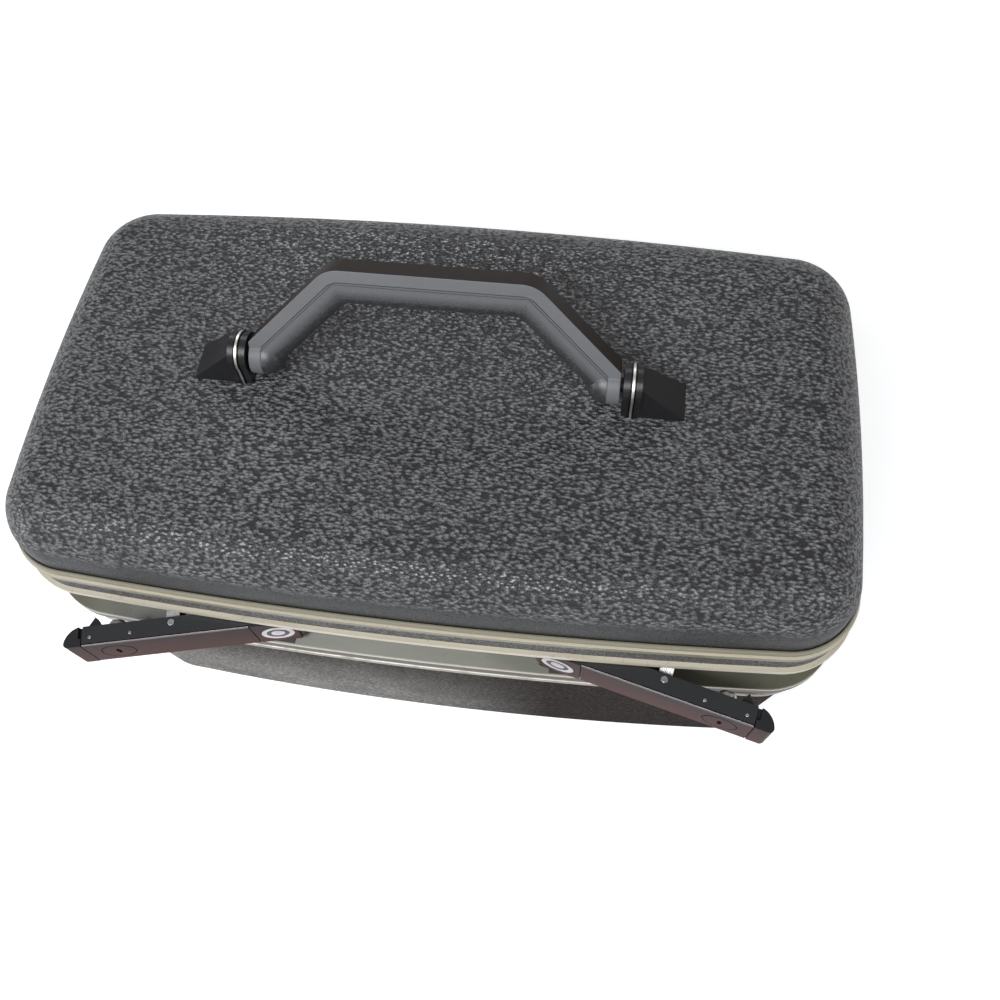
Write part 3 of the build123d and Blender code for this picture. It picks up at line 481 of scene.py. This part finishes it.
@dataclass(frozen=True)
class FramePaint(Finish):
    """Satin paint on drawn metal, lighter or darker by height as painted highlight and painted
    shade, with faint drawing lines.
    """

    painted_light_bands: tuple = ()
    band_fade: float = 0.0004

    def pattern(self, graph: Graph) -> None:
        """Drawing lines round the case, a slight yellowing and the painted shade and highlight of
        each band.

        Args:
            graph: node graph of the material.
        """
        lines = graph.noise(900.0, 1.0, 0.0, 0.5, graph.stretched((0.02, 0.02, 1.6)))
        cloud = graph.noise(22.0, 4.0).rise(0.3, 0.72)
        specks = graph.noise(420.0, 3.0).rise(0.62, 0.74)
        height = graph.axis("Z")
        paint = self.color
        # Each band by height is painted light: darker khaki as painted shade, a pale line as a
        # painted highlight.
        for level, tone in self.painted_light_bands:
            paint = graph.blend(height.rise(level, level + self.band_fade), paint, tone)
        wear_and_shade = graph.blend(cloud * 0.12, paint, self.shade(0.55))
        color = graph.blend(specks * 0.25, wear_and_shade, self.shade(0.45))
        graph.feed(graph.shader.inputs["Base Color"], color)
        gloss = self.roughness - 0.08 + lines * 0.1 + cloud * 0.06
        graph.feed(graph.shader.inputs["Roughness"], gloss.limited())
        graph.relief(lines * 0.6 + graph.noise(700.0, 2.0) * 0.4, self.depth)


@dataclass(frozen=True)
class WorkedMetal(Finish):
    """Bare metal with fine brushing along the length and small scratches."""

    metallic: float = 1.0

    def pattern(self, graph: Graph) -> None:
        """Brushing lines, scratches and dull spots.

        Args:
            graph: node graph of the material.
        """
        lines = graph.noise(2200.0, 2.0, 0.0, 0.6, graph.stretched((0.08, 0.3, 1.0)))
        spots = graph.noise(160.0, 4.0).rise(0.45, 0.7)
        color = graph.blend(spots * 0.6 + lines * 0.3, self.shade(1.05), self.shade(0.7))
        graph.feed(graph.shader.inputs["Base Color"], color)
        gloss = self.roughness - 0.05 + spots * 0.12 + lines * 0.08
        graph.feed(graph.shader.inputs["Roughness"], gloss.limited())
        graph.relief(lines, self.depth)


@dataclass(frozen=True)
class RingMetal(WorkedMetal):
    """Bright band between two edges painted near black, all round the end of a bracket."""

    middle: float = 0.086
    bright: float = 0.00042
    fade: float = 0.0002

    def pattern(self, graph: Graph) -> None:
        """Brushed metal, black beside the bright band.

        Args:
            graph: node graph of the material.
        """
        away = abs(abs(graph.axis("X")) - self.middle)
        dark = away.rise(self.bright, self.bright + self.fade)
        spots = graph.noise(300.0, 3.0).rise(0.4, 0.7)
        metal = graph.blend(spots * 0.4, self.color, self.shade(0.75))
        color = graph.blend(dark, metal, (0.012, 0.012, 0.012))
        graph.feed(graph.shader.inputs["Base Color"], color)
        graph.feed(graph.shader.inputs["Roughness"], (spots * 0.1 + self.roughness).limited())
        graph.relief(spots, self.depth)


@dataclass(frozen=True)
class KnurledMetal(WorkedMetal):
    """Bright metal with crossed ridges."""

    pitch: float = 0.0013

    def pattern(self, graph: Graph) -> None:
        """Crossed ridges with dull grooves.

        Args:
            graph: node graph of the material.
        """
        turns = 2 * math.pi / self.pitch
        run = graph.axis("X") * 0.7 + graph.axis("Y")
        one = ((run + graph.axis("Z")) * turns).wave()
        other = ((run - graph.axis("Z")) * turns).wave()
        ridge = one * other * 0.5 + 0.5
        color = graph.blend(ridge, self.shade(0.55), self.color)
        graph.feed(graph.shader.inputs["Base Color"], color)
        gloss = self.roughness + 0.15 - ridge * 0.15
        graph.feed(graph.shader.inputs["Roughness"], gloss.limited())
        graph.relief(ridge, self.depth)


@dataclass(frozen=True)
class GlossCover(Finish):
    """Deep glossy lacquer with fine hairlines and a warm tone towards its lower half."""

    warm: tuple = (0.05, 0.01, 0.0075)

    def pattern(self, graph: Graph) -> None:
        """Warm cloud, dust specks and hairlines.

        Args:
            graph: node graph of the material.
        """
        cloud = graph.noise(30.0, 3.0, 0.8).rise(0.38, 0.62)
        hairs = graph.noise(1500.0, 2.0, 0.0, 0.6, graph.stretched((0.05, 0.05, 1.0)))
        dust = graph.noise(1600.0, 3.0).rise(0.66, 0.74)
        low = 1.0 - graph.axis("Z").rise(0.13, 0.1475)
        share = (low * 0.75 + cloud * 0.35).limited()
        color = graph.blend(share, self.color, self.warm)
        graph.feed(graph.shader.inputs["Base Color"], graph.blend(dust * 0.3, color, self.shade(6)))
        gloss = self.roughness + hairs * 0.07 + dust * 0.15
        graph.feed(graph.shader.inputs["Roughness"], gloss.limited())
        graph.relief(hairs * 0.5 + cloud * 0.5, self.depth)


@dataclass(frozen=True)
class Cloth(Finish):
    """Woven lining cloth with a soft sheen."""

    threads: float = 1500.0

    def pattern(self, graph: Graph) -> None:
        """Plain weave of crossing threads over padding.

        Args:
            graph: node graph of the material.
        """
        across = (graph.axis("X") * (self.threads * 6.28)).wave() * 0.5 + 0.5
        along = ((graph.axis("Y") + graph.axis("Z")) * (self.threads * 6.28)).wave() * 0.5 + 0.5
        slub = graph.noise(400.0, 3.0)
        weave = across * along * 0.7 + slub * 0.5
        wear = graph.noise(18.0, 4.0).rise(0.35, 0.7)
        base = graph.blend(wear, self.shade(0.86), self.shade(1.08))
        color = graph.blend(weave.limited() * 0.4, base, self.shade(0.7))
        graph.feed(graph.shader.inputs["Base Color"], color)
        graph.feed(graph.shader.inputs["Roughness"], (0.8 + slub * 0.15).limited())
        graph.shader.inputs["Sheen Weight"].default_value = 0.3
        graph.relief(weave, 0.00025)


# Beige paint of the frame. The darker tones after it are painted shade on the lid's ridges and in
# the recess under the lip, and a painted shadow on the skirt under the shelf.
LIP_PAINT = (0.56, 0.51, 0.39)
RIDGE_PAINTED_SHADE = (0.21, 0.192, 0.132)
RECESS_PAINTED_SHADE = (0.098, 0.096, 0.06)
SKIRT_PAINTED_SHADOW = (0.045, 0.042, 0.03)
BLACK_ABS = LeatherGrain(
    "black_leather_grain", (0.02, 0.02, 0.0205), 0.31, level=0.188, dust_tone=0.07
)
# The body's finish carries a painted reflection of the floor on its front.
BODY_ABS = LeatherGrain(
    "black_body_grain",
    (0.014, 0.008, 0.0065),
    0.55,
    specular=0.05,
    light=(0.34, 0.33, 0.315),
    level=0.9,
    fine_scale=620.0,
    dust_tone=0.08,
    painted_reflection_strength=1.0,
)
STRIP = LeatherGrain(
    "black_strip_grain", (0.022, 0.022, 0.023), 0.42, level=0.9, fine_scale=1000.0, dust_tone=0.6
)
LID_PAINT_AND_SHADE = FramePaint(
    "beige_rim_paint",
    RIDGE_PAINTED_SHADE,
    0.42,
    coat=0.15,
    depth=0.00003,
    # A thin pale line at the groove is a painted highlight; the rest of the rim is darker as
    # painted shade.
    painted_light_bands=((0.1684, LIP_PAINT), (0.1696, RIDGE_PAINTED_SHADE)),
)
BASE_PAINT_AND_SHADE = FramePaint(
    "beige_frame_paint",
    SKIRT_PAINTED_SHADOW,
    0.42,
    coat=0.15,
    depth=0.00003,
    # Painted shadow on the skirt, the pale lower lip, painted shade in the recess, then the pale
    # lip.
    painted_light_bands=((0.1186, LIP_PAINT), (0.1208, RECESS_PAINTED_SHADE), (0.1502, LIP_PAINT)),
)
KHAKI = FramePaint("khaki_frame_paint", (0.30, 0.28, 0.20), 0.42, coat=0.15, depth=0.00003)
BEAD = WorkedMetal("bead_metal", (0.5, 0.47, 0.41), 0.5, depth=0.00001)
STEEL = WorkedMetal("plated_steel", (0.62, 0.62, 0.63), 0.3, depth=0.00002)
KNURLED = KnurledMetal("knurled_steel", (0.85, 0.84, 0.82), 0.22, depth=0.00025)
CHROME = WorkedMetal("polished_chrome", (0.82, 0.82, 0.83), 0.12, depth=0.00001)
RING = RingMetal("ring_chrome", (0.88, 0.85, 0.77), 0.36, depth=0.00001)
LEVER = Finish("satin_lever_black", (0.02, 0.021, 0.023), 0.38, coat=0.1)
COVER = GlossCover("dark_red_gloss", (0.014, 0.005, 0.004), 0.3, specular=0.06, depth=0.00002)
COVER_TOP = Finish("dark_cover_edge", (0.012, 0.012, 0.013), 0.4)
EDGE = WorkedMetal("bare_edge", (0.3, 0.3, 0.31), 0.35, depth=0.00001)
INLAY = WorkedMetal("pale_inlay", (0.72, 0.68, 0.7), 0.35, depth=0.00001)
INLAY_DARK = Finish("dark_inlay_groove", (0.05, 0.045, 0.05), 0.5)
DOME = WorkedMetal("pale_dome", (0.7, 0.68, 0.64), 0.3, depth=0.00001)
HOUSING = Finish("pocket_black", (0.008, 0.008, 0.008), 0.6)
HANDLE = Finish("handle_grey", (0.135, 0.139, 0.145), 0.5, grain=1500.0, depth=0.00005)
HANDLE_RIM = Finish(
    "handle_rim_brown", (0.02, 0.014, 0.011), 0.55, specular=0.25, grain=1500.0, depth=0.00005
)
GRIP = GripMould("grip_grain", (0.115, 0.118, 0.123), 0.3, grain=1500.0, depth=0.00008)
BRACKET = Finish("bracket_satin", (0.012, 0.012, 0.013), 0.34, grain=1400.0, depth=0.00004)
CLOTH = Cloth("lining_cloth", (0.33, 0.29, 0.24), 0.9)
TRAY = Finish("tray_plastic", (0.3, 0.26, 0.21), 0.45, grain=700.0, depth=0.00006)
MIRROR = Finish("mirror_silver", (0.9, 0.9, 0.91), 0.0, 1.0, depth=0.0, mottle=0.01)
GLOSS_RIM = Finish("mirror_rim_plastic", (0.34, 0.3, 0.25), 0.25, coat=0.4)


class Workshop:
    """Shared stock of materials and the common steps of every piece."""

    def __init__(self) -> None:
        """Starts with no materials made."""
        self.stock: dict[str, bpy.types.Material] = {}

    def finish(self, finish: Finish) -> bpy.types.Material:
        """Material of a finish, made once.

        Args:
            finish: the finish.

        Returns:
            Its material.
        """
        if finish.name not in self.stock:
            self.stock[finish.name] = finish.build()
        return self.stock[finish.name]

    def dress(self, node: str, finish: Finish) -> None:
        """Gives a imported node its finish.

        Args:
            node: name of the node.
            finish: finish of all its faces.
        """
        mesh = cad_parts[node].data
        mesh.materials.clear()
        mesh.materials.append(self.finish(finish))
        log.info("dressed %s", node)

    def piece(
        self,
        name: str,
        form: bmesh.types.BMesh,
        body: str,
        finishes: list[Finish],
        angle: float = 35,
    ) -> bpy.types.Object:
        """Turns a form into a piece that rides on a body.

        Args:
            name: name of the piece.
            form: the form, freed here.
            body: name of the body that carries it.
            finishes: finishes by material number.
            angle: edges sharper than this stay sharp, in degrees.

        Returns:
            The new object.
        """
        bmesh.ops.recalc_face_normals(form, faces=form.faces)
        mesh = bpy.data.meshes.new(name)
        form.to_mesh(mesh)
        form.free()
        for finish in finishes:
            mesh.materials.append(self.finish(finish))
        mesh.shade_smooth()
        mesh.set_sharp_from_angle(angle=math.radians(angle))
        made = bpy.data.objects.new(name, mesh)
        bpy.context.scene.collection.objects.link(made)
        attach(made, body)
        log.info("made %s", name)
        return made

    def joined(self, node: str) -> bmesh.types.BMesh:
        """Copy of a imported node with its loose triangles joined.

        Args:
            node: name of the node.

        Returns:
            The joined form.
        """
        form = bmesh.new()
        form.from_mesh(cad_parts[node].data)
        bmesh.ops.remove_doubles(form, verts=form.verts, dist=MERGE_DISTANCE)
        return form

    def soften(
        self,
        node: str,
        body: str,
        finish: Finish,
        edge: float = 0.0,
        angle: float = 32.0,
        extra: tuple = (),
    ) -> bpy.types.Object:
        """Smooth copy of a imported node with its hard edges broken.

        Args:
            node: name of the node.
            body: name of the body that carries it.
            finish: finish of all its faces.
            edge: width of the broken edges in millimetres.
            angle: edges sharper than this are broken, in degrees.
            extra: further finishes for single faces.

        Returns:
            The piece that stands for the node.
        """
        form = self.joined(node)
        if edge:
            bmesh.ops.dissolve_limit(
                form, angle_limit=FLAT_ANGLE, verts=form.verts, edges=form.edges
            )
        made = self.piece(node + "_finished", form, body, [finish, *extra], angle)
        if edge:
            bevel = made.modifiers.new("broken_edges", "BEVEL")
            bevel.width = edge * MM
            bevel.segments = 2
            bevel.limit_method = "ANGLE"
            bevel.angle_limit = math.radians(angle)
            bevel.harden_normals = False
        tidy = made.modifiers.new("even_shading", "WEIGHTED_NORMAL")
        tidy.keep_sharp = not edge
        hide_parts(node)
        return made


@dataclass
class Assembly:
    """A group of nodes on one body with their finishes."""

    shop: Workshop
    body: str
    hard: dict = field(default_factory=dict)
    plain: dict = field(default_factory=dict)

    def build(self) -> None:
        """Softens the nodes that show and dresses the others."""
        for node, (finish, edge, angle) in self.hard.items():
            self.shop.soften(node, self.body, finish, edge, angle)
        for node, finish in self.plain.items():
            self.shop.dress(node, finish)


@dataclass
class PaddedLining:
    """Padded cloth lining that takes the place of a plain shell."""

    shop: Workshop
    node: str
    body: str
    fullness: float = 0.0012
    cell: float = 0.032
    cuts: int = 4

    def build(self) -> bpy.types.Object:
        """Quilts a copy of the plain lining with soft hollows.

        Returns:
            The lining.
        """
        form = self.shop.joined(self.node)
        bmesh.ops.dissolve_limit(
            form, angle_limit=FLAT_ANGLE, verts=form.verts, edges=form.edges
        )
        low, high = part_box(self.node)
        for axis in range(3):
            self.slice(form, axis, low[axis], high[axis])
        bmesh.ops.remove_doubles(form, verts=form.verts, dist=SLIVER_WIDTH)
        bmesh.ops.dissolve_degenerate(form, edges=form.edges, dist=SLIVER_EDGE)
        form.normal_update()
        middle = (low + high) / 2
        for vertex in form.verts:
            if vertex.normal.dot(middle - vertex.co) > 0:
                vertex.co += vertex.normal * (self.fullness * self.pillow(vertex.co))
        made = self.shop.piece(self.node + "_cloth", form, self.body, [CLOTH], 60)
        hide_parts(self.node)
        return made

    def slice(self, form: bmesh.types.BMesh, axis: int, low: float, high: float) -> None:
        """Cuts the form at even steps along one axis.

        Args:
            form: the form to cut.
            axis: 0, 1 or 2 for X, Y or Z.
            low: lower end of the form on the axis.
            high: upper end of the form on the axis.
        """
        step = self.cell / self.cuts
        normal = [0.0, 0.0, 0.0]
        normal[axis] = 1.0
        for number in range(math.ceil(low / step), math.ceil(high / step)):
            place = [step * number * part for part in normal]
            bmesh.ops.bisect_plane(
                form,
                geom=[*form.verts, *form.edges, *form.faces],
                plane_co=place,
                plane_no=normal,
            )

    def pillow(self, place: Vector) -> float:
        """Fullness of the padding at a place, 0 at a seam and 1 in the middle of a cell.

        Args:
            place: place in metres.

        Returns:
            Share of the full padding.
        """
        turns = math.pi / self.cell
        across = abs(math.sin(place.x * turns))
        along = abs(math.sin((place.y + place.z) * turns))
        return math.sqrt(across * along)


@dataclass
class Latch:
    """One lever latch with its cover, lock and release cap."""

    shop: Workshop
    side: Side

    def build(self) -> None:
        """Finishes each piece of the latch."""
        end = "_" + self.side.suffix
        lever = "lever" + end
        self.shop.soften("lever" + end, lever, LEVER, 0.25)
        self.cover("lever_cover" + end, lever)
        self.fronted("lever_panel" + end, lever, 0.2)
        self.inlay("panel_inlay" + end, lever)
        for node in ("lever_pins", "link_rivet"):
            self.shop.soften(node + end, lever, CHROME, 0.12)
        self.shop.soften("lock_plate" + end, lever, DOME, 0.15, 40)
        self.shop.soften("latch_link" + end, "link" + end, KNURLED, 0.3)
        self.shop.soften("lock_cylinder" + end, "lock" + end, COVER, 0.15)
        self.fronted("release_cap" + end, "cap" + end, 0.3)

    def inlay(self, node: str, body: str) -> None:
        """Pale inlay with a dark sunk ring.

        Args:
            node: name of the inlay's node.
            body: body that carries it.
        """
        made = self.shop.soften(node, body, INLAY, 0.0, extra=(INLAY_DARK,))
        faces = made.data.polygons
        front = max(faces, key=lambda face: -face.normal.y).normal.copy()
        top = max(face.center.dot(front) for face in faces)
        for face in faces:
            if face.normal.dot(front) > 0.9 and top - face.center.dot(front) > 0.15 * MM:
                face.material_index = 1

    def fronted(self, node: str, body: str, edge: float) -> None:
        """Black piece with a glossy red front.

        Args:
            node: name of the piece's node.
            body: body that carries it.
            edge: width of the broken edges in millimetres.
        """
        made = self.shop.soften(node, body, COVER_TOP, edge, extra=(COVER,))
        for face in made.data.polygons:
            if face.normal.y < -0.35:
                face.material_index = 1

    def cover(self, node: str, body: str) -> None:
        """Glossy cover whose chamfers are scuffed bare.

        Args:
            node: name of the cover's node.
            body: body that carries it.
        """
        made = self.shop.soften(node, body, COVER, 0.12, extra=(EDGE,))
        faces = made.data.polygons
        front = max(faces, key=lambda face: face.area).normal
        for face in faces:
            slant = abs(face.normal.dot(front))
            if 0.3 < slant < 0.9 and face.area > 2e-5 and abs(face.normal.z) > 0.3:
                face.material_index = 1


@dataclass
class Handle:
    """Carry handle: a grey shell with a dark rim and a rounded grip."""

    shop: Workshop
    tilt: float = 62.4
    pivot: tuple = (0.0, 0.0, 0.2134)
    leg_start: float = 0.0092

    def build(self) -> None:
        """Finishes the shell and its grip."""
        self.shop.soften("handle_grip", "handle", GRIP, 0.3, 32)
        made = self.shop.soften("handle_shell", "handle", HANDLE, 0.6, 32, (HANDLE_RIM,))
        lean = math.radians(self.tilt)
        front = Vector((0.0, -math.sin(lean), math.cos(lean)))
        upward = Vector((0.0, math.cos(lean), math.sin(lean)))
        for face in made.data.polygons:
            height = (face.center - Vector(self.pivot)).dot(upward)
            if abs(face.normal.dot(front)) < 0.5 and height > self.leg_start:
                face.material_index = 1


@dataclass
class Studio:
    """Plain pale floor, soft lamps and the camera."""

    shop: Workshop
    place: tuple = (0.07375, -0.21848, 0.57531)
    ahead: tuple = (-0.10439, 0.46102, -0.88123)
    right: tuple = (0.99035, 0.12940, -0.04962)
    lens: float = 35.417
    shift: tuple = (0.0042, -0.0658)
    floor_lift: float = 0.34
    far_lift: float = 0.62
    world_light: float = 0.27
    aim: tuple = (0.0, 0.0, 0.12)

    def build(self) -> None:
        """Sets up everything around the case."""
        self.camera()
        self.floor()
        self.world()
        self.lamp("key", (-0.35, -1.0, 1.4), (1.3, 0.8), 25.0, (0.93, 0.96, 1.0))
        self.lamp("fill", (1.5, -0.6, 0.9), (1.0, 1.0), 5.0, (1.0, 0.97, 0.93))
        self.lamp("window", (-1.5, -0.45, 0.4), (0.9, 0.5), 6.0, (0.95, 0.97, 1.0))
        self.lamp("back", (-0.3, 1.2, 1.3), (0.7, 0.4), 7.0, (0.97, 0.98, 1.0))

    def camera(self) -> None:
        """Places the camera at the photographed angle."""
        data = bpy.data.cameras.new("camera")
        data.lens = self.lens
        data.sensor_width = 36.0
        data.shift_x, data.shift_y = self.shift
        made = bpy.data.objects.new("camera", data)
        back = -Vector(self.ahead).normalized()
        side = Vector(self.right).normalized()
        up = back.cross(side).normalized()
        turn = Matrix((side, up, back)).transposed().to_4x4()
        made.matrix_world = Matrix.Translation(self.place) @ turn
        bpy.context.scene.collection.objects.link(made)
        bpy.context.scene.camera = made

    def floor(self) -> None:
        """Wide pale floor, lifted towards white for the camera, and more so far off."""
        form = bmesh.new()
        bmesh.ops.create_grid(form, x_segments=1, y_segments=1, size=6.0)
        mesh = bpy.data.meshes.new("floor")
        form.to_mesh(mesh)
        form.free()
        graph = Graph("floor_white")
        graph.shader.inputs["Roughness"].default_value = 0.9
        speck = graph.noise(60.0, 2.0)
        color = graph.blend(speck, (0.9, 0.9, 0.9), (0.94, 0.94, 0.94))
        graph.feed(graph.shader.inputs["Base Color"], color)
        seen = Value(graph, graph.node("ShaderNodeLightPath").outputs["Is Camera Ray"])
        away = (graph.axis("X") ** 2.0 + graph.axis("Y") ** 2.0) ** 0.5
        near = graph.blend(away.rise(0.6, 2.4), (self.floor_lift,) * 3, (self.far_lift,) * 3)
        lift = graph.blend(seen, (0.0, 0.0, 0.0), near)
        graph.feed(graph.shader.inputs["Emission Color"], lift)
        graph.shader.inputs["Emission Strength"].default_value = 1.0
        mesh.materials.append(graph.material)
        made = bpy.data.objects.new("floor", mesh)
        made.location.z = -0.0002
        bpy.context.scene.collection.objects.link(made)

    def world(self) -> None:
        """Even pale surroundings."""
        world = bpy.data.worlds.new("studio")
        world.use_nodes = True
        tree = world.node_tree
        back = tree.nodes["Background"]
        back.inputs["Color"].default_value = (1.0, 1.0, 1.0, 1.0)
        path = tree.nodes.new("ShaderNodeLightPath")
        mix = tree.nodes.new("ShaderNodeMix")
        mix.inputs["A"].default_value = self.world_light
        mix.inputs["B"].default_value = 1.0
        tree.links.new(path.outputs["Is Camera Ray"], mix.inputs["Factor"])
        tree.links.new(mix.outputs["Result"], back.inputs["Strength"])
        bpy.context.scene.world = world

    def lamp(self, name: str, place: tuple, size: tuple, power: float, color: tuple) -> None:
        """Soft box aimed at the case.

        Args:
            name: name of the lamp.
            place: place in metres.
            size: width and height in metres.
            power: power in watts.
            color: colour of the light.
        """
        data = bpy.data.lights.new(name, "AREA")
        data.shape = "RECTANGLE"
        data.size, data.size_y = size
        data.energy = power
        data.color = color
        made = bpy.data.objects.new(name, data)
        made.location = place
        aim = Vector(self.aim) - Vector(place)
        made.rotation_euler = aim.to_track_quat("-Z", "Y").to_euler()
        bpy.context.scene.collection.objects.link(made)


def main() -> None:
    """Builds the case and its studio and reports each piece."""
    logging.basicConfig(level=logging.INFO, format="%(message)s")
    bpy.context.scene.view_settings.view_transform = "Standard"
    shop = Workshop()
    Studio(shop).build()
    both = [side.suffix for side in Side]
    lid_hard = {
        "lid_shell": (BLACK_ABS, 0.0, 32),
        "lid_frame": (LID_PAINT_AND_SHADE, 0.0, 20),
        "lid_strip": (STRIP, 0.0, 32),
        "mirror_frame": (GLOSS_RIM, 0.4, 32),
        "lid_hinge_leaves": (KHAKI, 0.2, 32),
    }
    for end in both:
        lid_hard["handle_bracket_" + end] = (BRACKET, 0.9, 16)
        lid_hard["bracket_ring_" + end] = (RING, 0.0, 40)
        lid_hard["latch_keeper_" + end] = (STEEL, 0.2, 32)
    lid_plain = {
        "mirror_glass": MIRROR,
        "handle_pins": HOUSING,
        "bracket_plates": STEEL,
        "bracket_screws": STEEL,
        "lid_hinge_rivets": STEEL,
    }
    Assembly(shop, "lid", lid_hard, lid_plain).build()
    PaddedLining(shop, "lid_lining", "lid").build()
    Handle(shop).build()
    base_hard = {
        "base_shell": (BODY_ABS, 0.0, 32),
        "base_frame": (BASE_PAINT_AND_SHADE, 0.0, 20),
        "base_bead": (BEAD, 0.0, 32),
        "base_hinge_leaves": (KHAKI, 0.2, 32),
        "tray_ledges": (TRAY, 0.3, 32),
    }
    base_plain = {"hinge_pins": STEEL, "base_hinge_rivets": STEEL, "latch_pivot_pins": STEEL}
    for end in both:
        base_hard["latch_housing_" + end] = (HOUSING, 0.2, 32)
    Assembly(shop, "base", base_hard, base_plain).build()
    PaddedLining(shop, "base_lining", "base").build()
    Assembly(shop, "tray", {"tray": (TRAY, 0.4, 32)}).build()
    for side in Side:
        Latch(shop, side).build()


if __name__ == "__main__":
    main()
